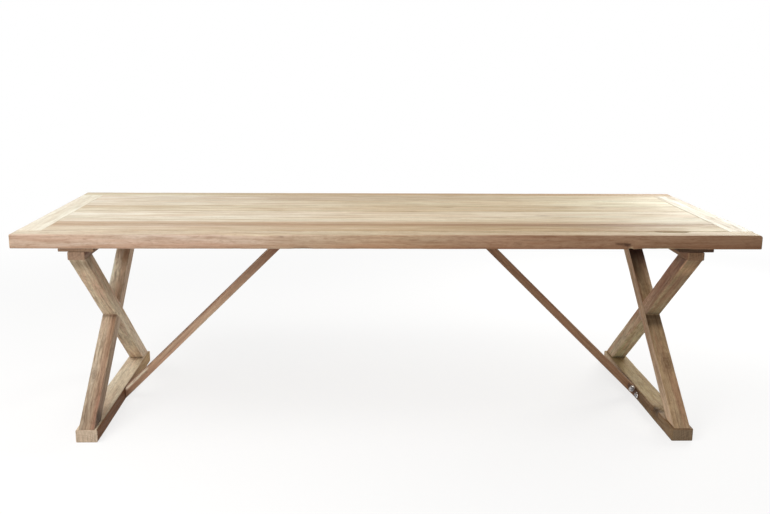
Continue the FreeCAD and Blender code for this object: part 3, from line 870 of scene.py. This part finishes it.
trestles = {
    # Painted light and shade: the tones are raised against the shade under the top, the front face carries a
    # painted highlight beside a painted dark strip, and the foot's inner side painted shade; the thin dark
    # line at the lap is a joint
    "left_front_leg": dict(
        seed=11.0, pith=(0.03, 0.05),
        toneAndShading=[(0.82, 0.85, 0.89), (1.34, 1.48, 1.64), (1.7, 1.9, 2.15), (1.6, 1.8, 2.0)],
        acrossToneAndShading=(2, [(1.08, 1.11, 1.14), (1.08, 1.09, 1.1), (1.03, 0.96, 0.93), (0.84, 0.69, 0.64)]),
        faceTonesAndShading=[
            faceToneAndShading(legLeft, (1.1, 1.13, 1.17), apart=legFront),
            faceToneAndShading(legRight, (0.82, 0.85, 0.9), (1.25, 1.37, 1.5), (1.5, 1.62, 1.78), (1.1, 1.15, 1.2)),
        ],
        toneAndShadingPatches=[
            spotAt(0.19, 0.06, (1.25, 1.37, 1.44), legFront),
            spotAt(0.2, 0.12, (1.4, 1.55, 1.65), legFront, (2, -0.03, 0.015)),
            spotAt(0.28, 0.07, (0.5, 0.43, 0.4), legFront, (2, 0.014, 0.018)),
        ],
        depths=dict(Streaks=0.7, Red=0.6),
        grimeAndShade=[spotAt(-0.041, 0.005, 0.7, legFront), spotAt(-0.49, 0.035, 0.75, legRight)],
        knots=[knotAt(-0.315, 0.03, -0.014, 0.01, onFront, swirl=0.5)],
    ),
    # Its tones are raised to paint light into the shade under the top, and the dark spot at its foot is
    # painted shade
    "left_back_leg": dict(
        seed=12.0, pith=(-0.05, 0.02), heart=0.06, toneAndShading=[(1.78, 2.1, 2.35), (1.7, 1.9, 1.97)],
        faceTonesAndShading=[faceToneAndShading(legLeft, (1.15, 1.2, 1.24), apart=legFront)],
        grimeAndShade=[spotAt(-0.49, 0.02, 0.6, legFront)],
    ),
    # Painted light and shade: the top face is lightened in the shade of the table, and the inner side is
    # painted dark, lightening towards one end
    "left_foot_rail": dict(
        seed=13.0, pith=(0.02, -0.06), toneAndShading=[(1.16, 1.23, 1.35)],
        faceTonesAndShading=[
            faceToneAndShading(topFace, (1.75, 2.05, 2.3)),
            faceToneAndShading(nearSide, (0.35, 0.19, 0.08), (0.33, 0.19, 0.11), (1.07, 0.97, 0.72)),
            faceToneAndShading(nearEnd, (1.16, 1.23, 1.35)),
        ],
        look=dict(wearDepth=0.1),
    ),
    # The head rail and battens under the top are darkened as painted shade
    "left_head_rail": dict(seed=14.0, toneAndShading=[(0.86, 0.77, 0.78)]),
    "left_batten": dict(seed=15.0, toneAndShading=[(0.7, 0.62, 0.6)]),
    "left_brace_batten": dict(seed=16.0, toneAndShading=[(0.9, 0.9, 0.9)]),
    # Painted shadow: the front face goes nearly black towards the head and has a dark patch where the top
    # shades it, and the grime spots paint the shadow under the lap; a pale patch paints light on the front
    "right_front_leg": dict(
        seed=17.0, pith=(-0.02, 0.06), toneAndShading=[(1.52, 1.55, 1.6), (1.35, 1.27, 1.22)],
        faceTonesAndShading=[
            faceToneAndShading(
                legFront, (1.02, 0.97, 0.86), (1.16, 1.1, 0.95), (1.25, 1.2, 1.04), (0.7, 0.7, 0.68),
                (0.02, 0.01, 0.01),
            ),
        ],
        toneAndShadingPatches=[
            spotAt(0.31, 0.07, (0.15, 0.06, 0.04), legFront),
            spotAt(0.22, 0.08, (0.42, 0.35, 0.3), legFront, (2, -0.025, 0.024)),
            spotAt(0.16, 0.1, (1.8, 1.95, 2.1), legFront, (2, 0.03, 0.02)),
        ],
        grimeAndShade=[
            spotAt(-0.043, 0.01, 1.0, legFront), spotAt(-0.065, 0.034, 0.76, legFront),
            spotAt(-0.072, 0.032, 0.85, legFront, (2, -0.024, 0.022)),
        ],
        knots=[knotAt(-0.265, 0.03, 0.008, 0.014, onFront, 0.55, 0.2)],
    ),
    # Painted light: its tones and the bright patch near the head lift the shade under the top, and the dark
    # spots at the lap and the foot are painted shade; the chips are wear
    "right_back_leg": dict(
        seed=18.0, pith=(0.04, 0.03), toneAndShading=[(1.2, 1.25, 1.2), (1.15, 1.1, 1.0)],
        depths=dict(Mottle=0.45, Stain=0.5, Grey=0.55),
        chips=[
            chipAt(-0.17, (1, -1), 0.17, 0.007, fresh=0.6), chipAt(-0.34, (1, -1), 0.11, 0.004, fresh=0.4),
            chipAt(0.2, (1, -1), 0.2, 0.006, fresh=0.8), chipAt(0.38, (1, -1), 0.14, 0.005, fresh=0.6),
        ],
        faceTonesAndShading=[
            faceToneAndShading(
                legFront, (1.7, 2.25, 2.2), (1.68, 2.08, 1.98), (1.38, 1.56, 1.42), (1.08, 1.08, 0.95),
                (0.65, 0.65, 0.55),
            ),
            faceToneAndShading(
                legLeft, (1.75, 1.92, 1.92), (1.78, 1.98, 1.98), (1.32, 1.2, 1.17), (1.05, 0.88, 0.85),
                (0.92, 0.76, 0.73),
            ),
        ],
        toneAndShadingPatches=[spotAt(0.5, 0.06, (2.6, 2.6, 2.6), legFront)],
        grimeAndShade=[spotAt(0.03, 0.035, 0.62, legFront), spotAt(-0.49, 0.025, 0.7, legFront)],
    ),
    # Painted shade and light: the rail is darkened, its top darkest in the back leg's shadow, the inner side
    # lightens at its far end, and the notch is deepened with painted shade
    "right_foot_rail": dict(
        seed=19.0, pith=(-0.03, -0.05), toneAndShading=[(0.5, 0.47, 0.43)],
        faceTonesAndShading=[
            faceToneAndShading(topFace, (0.45, 0.35, 0.26), (0.9, 0.93, 0.72), (0.9, 0.93, 0.72), (0.8, 0.8, 0.62)),
            faceToneAndShading(farSide, (0.5, 0.44, 0.34), (0.5, 0.42, 0.32), (0.5, 0.42, 0.32), (1.6, 1.7, 1.7)),
        ],
        chips=[chipAt(-0.268, (1, 1), 0.075, 0.011, fresh=0.0, dirt=1.0)],
        grimeAndShade=[spotAt(-0.285, 0.02, 0.85, topFace, (1, 0.022, 0.012))],
    ),
    # The right head rail and batten are darkened as painted shade under the top, the batten nearly black
    "right_head_rail": dict(
        seed=20.0, toneAndShading=[(0.58, 0.47, 0.4)], faceTonesAndShading=[faceToneAndShading(farSide, (0.72, 0.6, 0.5))],
    ),
    "right_batten": dict(seed=21.0, toneAndShading=[(0.2, 0.15, 0.13)]),
    "right_brace_batten": dict(seed=22.0, toneAndShading=[(0.8, 0.8, 0.8)]),
}

for node, own in trestles.items():
    kind = node.split("_", 1)[1]
    if kind in railKinds:
        layTimber(node, {**trestleWood, **railKinds[kind]}, own, "y")
    else:
        makeLeg(node, own)
print("trestles made")


# Braces

braceWood = dict(
    wood="braceWood", slot="brace_wood", cells=(220, 12, 14), arris=0.0015, wear=0.0012, ripple=0.0004,
    endEase=0.0004, heart=0.05,
)
braceWidth = 0.032
braces = {
    # Painted light: its tones are raised against the shade under the top, its upper face is lightened, and
    # the pale rubbed colour with the strong pale chip paint a highlight along it; the dark spot at the foot
    # is painted shade
    "left": dict(
        seed=23.0, pith=(0.03, 0.02), toneAndShading=[(1.5, 1.65, 1.75), (2.15, 2.9, 3.3), (0.5, 0.26, 0.18)],
        faceTonesAndShading=[faceToneAndShading(farSide, (1.3, 1.35, 1.4))], grimeAndShade=[spotAt(-0.515, 0.02, 0.7)],
        look=dict(rubbed=(240, 222, 196)), knots=[knotAt(-0.363, 0.004, 0.025, 0.004, (1.0, 1.0, 0.1))],
        chips=[chipAt(-0.42, (1, 1), 0.15, 0.0035, fresh=3.0)],
    ),
    "right": dict(
        seed=24.0, pith=(-0.02, 0.03), toneAndShading=[(1.05, 1.08, 1.02), (1.1, 1.12, 1.08), (0.7, 0.67, 0.64)],
    ),
}


def makeBrace(side, own):
    # Plumb cut at the foot, level cut at the head
    low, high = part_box(side + "_brace")
    way = -1 if side == "right" else 1
    footX, headX = (high.x, low.x) if side == "right" else (low.x, high.x)
    middleY = (low.y + high.y) / 2
    along = Vector((headX - footX, 0, high.z - low.z)).normalized()
    across = Vector((-way * along.z, 0, abs(along.x)))
    halfWidth = braceWidth / 2
    rake = along.z / abs(along.x)
    foot = Vector((footX, middleY, low.z)) + across * halfWidth + along * (rake * halfWidth)
    head = Vector((headX, middleY, high.z)) + across * halfWidth - along * (halfWidth / rake)
    size = ((head - foot).length, braceWidth, high.y - low.y)
    makeTimber({
        **braceWood, **own, "node": side + "_brace", "size": size, "centre": tuple((foot + head) / 2),
        "along": along, "across": across, "endSlopes": (rake, -1 / rake),
    })


for side, own in braces.items():
    makeBrace(side, own)
print("braces made")


# Metal

weldDistance = 1e-5


def makeMetal(name, look, mask=None):
    # A bright and a dull colour in patches, and a third where the mask or the scuffs lie
    material, shader = newMaterial(name)
    bright, dull, third = (screenColour(*look[shade]) for shade in ("bright", "dull", "third"))
    place = addNode("ShaderNodeTexCoord")["Object"]
    scuffs = useGroup(scuffGroup, {"Place": place, "Amount": look["scuffs"]})
    share = maths("MULTIPLY", attribute(mask), look["maskShare"]) if mask else scuffs["Scuffs"]
    colour = mixColour(scuffs["Dullness"], bright, dull)
    feed(shader.inputs["Base Color"], mixColour(share, colour, third))
    feed(shader.inputs["Roughness"], remap(scuffs["Dullness"], 0.0, 1.0, *look["roughness"]))
    shader.inputs["Metallic"].default_value = look["metallic"]
    relief, strength, distance = look["bump"]
    addBump(shader, strength, distance, scuffs[relief])
    return material


def openShape(node):
    shape = bmesh.new()
    shape.from_mesh(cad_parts[node].data)
    bmesh.ops.remove_doubles(shape, verts=shape.verts, dist=weldDistance)
    return shape


# Angle brackets

brackets = dict(ease=0.0007, flatAngle=0.01, crease=math.radians(40))
bracketLook = dict(
    bright=(104, 74, 56), dull=(84, 59, 44), third=(128, 116, 104), scuffs=0.7, metallic=0.0,
    roughness=(0.45, 0.7), bump=("Dullness", 0.3, 0.0003),
)


def makeBracket(node, paint):
    # The leaves keep their shape, with the stamped edges eased
    shape = openShape(node)
    bmesh.ops.dissolve_limit(shape, angle_limit=brackets["flatAngle"], verts=shape.verts, edges=shape.edges)
    mesh = bpy.data.meshes.new(node + "_leaves")
    shape.to_mesh(mesh)
    shape.free()
    mesh.materials.clear()
    mesh.materials.append(paint)
    piece = linkObject(node + "_leaves", mesh)
    bevel = piece.modifiers.new("ease", "BEVEL")
    bevel.width = brackets["ease"]
    bevel.segments = 2
    bevel.limit_method = "ANGLE"
    bakeDown(piece)
    piece.data.set_sharp_from_angle(angle=brackets["crease"])
    join(piece, node, "bracket_steel")


bracketPaint = makeMetal("bracketPaint", bracketLook)
for side in ("left", "right"):
    for end in ("foot", "head"):
        makeBracket(f"{side}_{end}_bracket", bracketPaint)
print("brackets made")


# Coach screws: a hexagon head on a washer, wherever the frame has a screw

largeScrew = {"Flats": 0.013, "Head": 0.0055, "Washer Radius": 0.012, "Washer Thickness": 0.0015}
smallScrew = {"Flats": 0.010, "Head": 0.004, "Washer Radius": 0.009, "Washer Thickness": 0.0012}
screws = {
    "batten_screws": {**smallScrew, "Seed": 3},
    "head_rail_screws": {**largeScrew, "Seed": 5},
    "bracket_screws": {**largeScrew, "Seed": 7},
}
screwLook = dict(
    bright=(238, 236, 233), dull=(205, 202, 198), third=(140, 142, 150), scuffs=0.6, metallic=1.0,
    roughness=(0.28, 0.5), bump=("Scuffs", 0.25, 0.0002), maskShare=0.85,
)
screwShape = dict(
    washerSides=40, washerRim=0.95, crownSides=24, crownFoot=0.48, crownTop=0.4, crownRise=0.12,
    crease=math.radians(30),
)
endReach = 1e-4  # how near to its end a screw's width is taken


def joinShapes(*shapes):
    joined = addNode("GeometryNodeJoinGeometry")[0]
    for shape in shapes:
        feed(joined.node.inputs[0], shape)
    return joined


def lift(shape, height):
    raised = {"Geometry": shape["Mesh"], "Translation": combine(z=height)}
    return addNode("GeometryNodeTransform", raised)[0]


def buildScrewTree():
    inputs = {
        "Geometry": "Geometry", "Flats": 0.013, "Head": 0.005, "Washer Radius": 0.01,
        "Washer Thickness": 0.0015, "Seed": 0, "Steel": "Material",
    }
    tree, inside, outside = newGroup("coachScrews", "GeometryNodeTree", inputs, "Geometry")
    flats, head, washerTop = inside["Flats"], inside["Head"], inside["Washer Thickness"]

    rim = maths("MULTIPLY", inside["Washer Radius"], screwShape["washerRim"])
    sizes = {"Vertices": screwShape["washerSides"], "Radius Bottom": inside["Washer Radius"]}
    washer = addNode("GeometryNodeMeshCone", {**sizes, "Radius Top": rim, "Depth": washerTop})["Mesh"]
    corner = maths("DIVIDE", flats, math.sqrt(3))
    hexagon = addNode("GeometryNodeMeshCylinder", {"Vertices": 6, "Radius": corner, "Depth": head})
    hexagon = lift(hexagon, maths("MULTIPLY_ADD", head, 0.5, washerTop))
    sizes = {"Vertices": screwShape["crownSides"], "Depth": maths("MULTIPLY", head, screwShape["crownRise"])}
    for end, part in (("Radius Bottom", "crownFoot"), ("Radius Top", "crownTop")):
        sizes[end] = maths("MULTIPLY", flats, screwShape[part])
    crown = lift(addNode("GeometryNodeMeshCone", sizes), maths("ADD", washerTop, head))
    marked = markPoints(joinShapes(hexagon, crown), "head", 1.0)
    screw = joinShapes(washer, marked)

    # Each head points out of the wood and stops at its own turn
    aim = addNode("GeometryNodeInputNamedAttribute", {"Name": "aim"}, data_type="FLOAT_VECTOR")[0]
    upright = addNode("FunctionNodeAlignRotationToVector", {"Vector": aim}, axis="Z")[0]
    anyTurn = {3: math.tau / 6, "Seed": inside["Seed"]}  # the fourth socket is the highest float
    angle = addNode("FunctionNodeRandomValue", anyTurn)[1]
    spin = addNode("FunctionNodeAxisAngleToRotation", {"Axis": (0.0, 0.0, 1.0), "Angle": angle})[0]
    facing = {"Rotation": upright, "Rotate By": spin}
    facing = addNode("FunctionNodeRotateRotation", facing, rotation_space="LOCAL")[0]
    setting = {"Points": inside["Geometry"], "Instance": screw, "Rotation": facing}
    endTree(outside, addNode("GeometryNodeInstanceOnPoints", setting)[0], inside["Steel"])
    return tree


def islandPoints(shape):
    # The corners of each separate solid
    left = set(shape.verts)
    while left:
        grown, fresh = set(), [left.pop()]
        while fresh:
            corner = fresh.pop()
            grown.add(corner)
            near = {edge.other_vert(corner) for edge in corner.link_edges} & left
            left -= near
            fresh.extend(near)
        yield np.array([corner.co for corner in grown])


def findSeats(node):
    # A screw lies along its longest side, and the wider end is its head
    shape = openShape(node)
    seats, aims = [], []
    for points in islandPoints(shape):
        low, high = points.min(0), points.max(0)
        axis = int(np.argmax(high - low))
        lowEnd, highEnd = (points[np.abs(points[:, axis] - end[axis]) < endReach] for end in (low, high))
        headUp = np.ptp(highEnd, 0).max() > np.ptp(lowEnd, 0).max()
        aim = np.eye(3)[axis] * (1 if headUp else -1)
        seat = (low + high) / 2
        seat[axis] = (high if headUp else low)[axis]
        seats.append(seat - aim * screws[node]["Head"])
        aims.append(aim)
    shape.free()
    order = np.lexsort(np.round(seats, 4).T)
    return np.array(seats)[order], np.array(aims)[order]


screwTree = buildScrewTree()
screwSteel = makeMetal("screwSteel", screwLook, "head")
for node, sizes in screws.items():
    seats, aims = findSeats(node)
    mesh = bpy.data.meshes.new(node + "_heads")
    mesh.from_pydata(seats.tolist(), [], [])
    setAttribute(mesh, "aim", aims)
    piece = runTree(node + "_heads", screwTree, {**sizes, "Steel": screwSteel}, mesh)
    piece.data.set_sharp_from_angle(angle=screwShape["crease"])
    join(piece, node, "screw_steel")
    print(node, "has", len(seats), "screws")


# Floor, light and camera

stage = dict(
    size=24.0, bounce=(0.55, 0.54, 0.53, 1.0), nearWhite=0.75, nearRadius=1.6, farRadius=4.5, ambient=0.45,
)


def seenDirectly():
    # One for camera, mirror and glass rays, zero for light that bounces
    rays = addNode("ShaderNodeLightPath")
    seen = maths("MAXIMUM", rays["Is Glossy Ray"], rays["Is Transmission Ray"])
    return maths("MAXIMUM", rays["Is Camera Ray"], seen)


def makeFloor():
    half = stage["size"] / 2
    mesh = bpy.data.meshes.new("floor")
    corners = [(-half, -half, 0), (half, -half, 0), (half, half, 0), (-half, half, 0)]
    mesh.from_pydata(corners, [], [(0, 1, 2, 3)])
    material, shader = newMaterial("floorPaint")
    seen = seenDirectly()
    feed(shader.inputs["Base Color"], mixColour(seen, stage["bounce"], white))
    shader.inputs["Roughness"].default_value = 0.9
    shader.inputs["Specular IOR Level"].default_value = 0.0
    away = vectors("LENGTH", addNode("ShaderNodeTexCoord")["Object"])
    share = remap(away, stage["nearRadius"], stage["farRadius"], stage["nearWhite"], 1.0)
    glow = addNode("ShaderNodeEmission", {"Color": white, "Strength": 1.0})[0]
    lit = {"Fac": maths("MULTIPLY", seen, share), 1: shader.outputs[0], 2: glow}
    surface = material.node_tree.nodes["Material Output"].inputs["Surface"]
    feed(surface, addNode("ShaderNodeMixShader", lit)[0])
    mesh.materials.append(material)
    linkObject("floor", mesh)


def makeWorld():
    world = bpy.data.worlds.new("studio")
    world.use_nodes = True
    bpy.context.scene.world = world
    making["tree"] = world.node_tree
    background = world.node_tree.nodes["Background"].inputs
    background["Color"].default_value = white
    feed(background["Strength"], remap(seenDirectly(), 0.0, 1.0, stage["ambient"], 1.0))


lamps = {
    "frontLeft": dict(
        place=(-2.4, -1.6, 3.4), aim=(-0.5, -0.2, 0.5), size=(2.4, 2.0), power=85.0, colour=(1.0, 0.98, 0.95),
    ),
    "lowFront": dict(
        place=(-1.5, -3.4, 1.05), aim=(-0.8, -0.3, 0.4), size=(1.6, 1.0), power=36.0,
        colour=(1.0, 0.97, 0.94),
    ),
    "window": dict(
        place=(2.5, 2.0, 1.7), aim=(0.6, 0.0, 0.7), size=(1.8, 1.5), power=58.0, colour=(1.0, 0.98, 0.94),
    ),
}


def makeLamps():
    for name, lamp in lamps.items():
        data = bpy.data.lights.new(name, "AREA")
        data.shape = "RECTANGLE"
        data.size, data.size_y = lamp["size"]
        data.energy = lamp["power"]
        data.color = lamp["colour"]
        thing = linkObject(name, data)
        thing.location = lamp["place"]
        ray = Vector(lamp["aim"]) - Vector(lamp["place"])
        thing.rotation_euler = ray.to_track_quat("-Z", "Y").to_euler()


view = dict(
    place=(-0.14272, -3.66935, 1.38121), yaw=0.02093, pitch=0.21239, roll=0.00562, focalPixels=938.52,
    shiftPixels=18.44, framePixels=770, sensor=36.0,
)


def makeCamera():
    data = bpy.data.cameras.new("camera")
    data.sensor_fit = "HORIZONTAL"
    data.sensor_width = view["sensor"]
    data.lens = view["focalPixels"] / view["framePixels"] * view["sensor"]
    data.shift_x = view["shiftPixels"] / view["framePixels"]
    turn = Matrix.Rotation(-view["yaw"], 4, "Z") @ Matrix.Rotation(math.pi / 2 - view["pitch"], 4, "X")
    turn @= Matrix.Rotation(view["roll"], 4, "Z")
    camera = linkObject("camera", data)
    camera.matrix_world = Matrix.Translation(view["place"]) @ turn
    bpy.context.scene.camera = camera


makeFloor()
makeWorld()
makeLamps()
makeCamera()
bpy.context.scene.view_settings.view_transform = "Standard"
print("stage set")
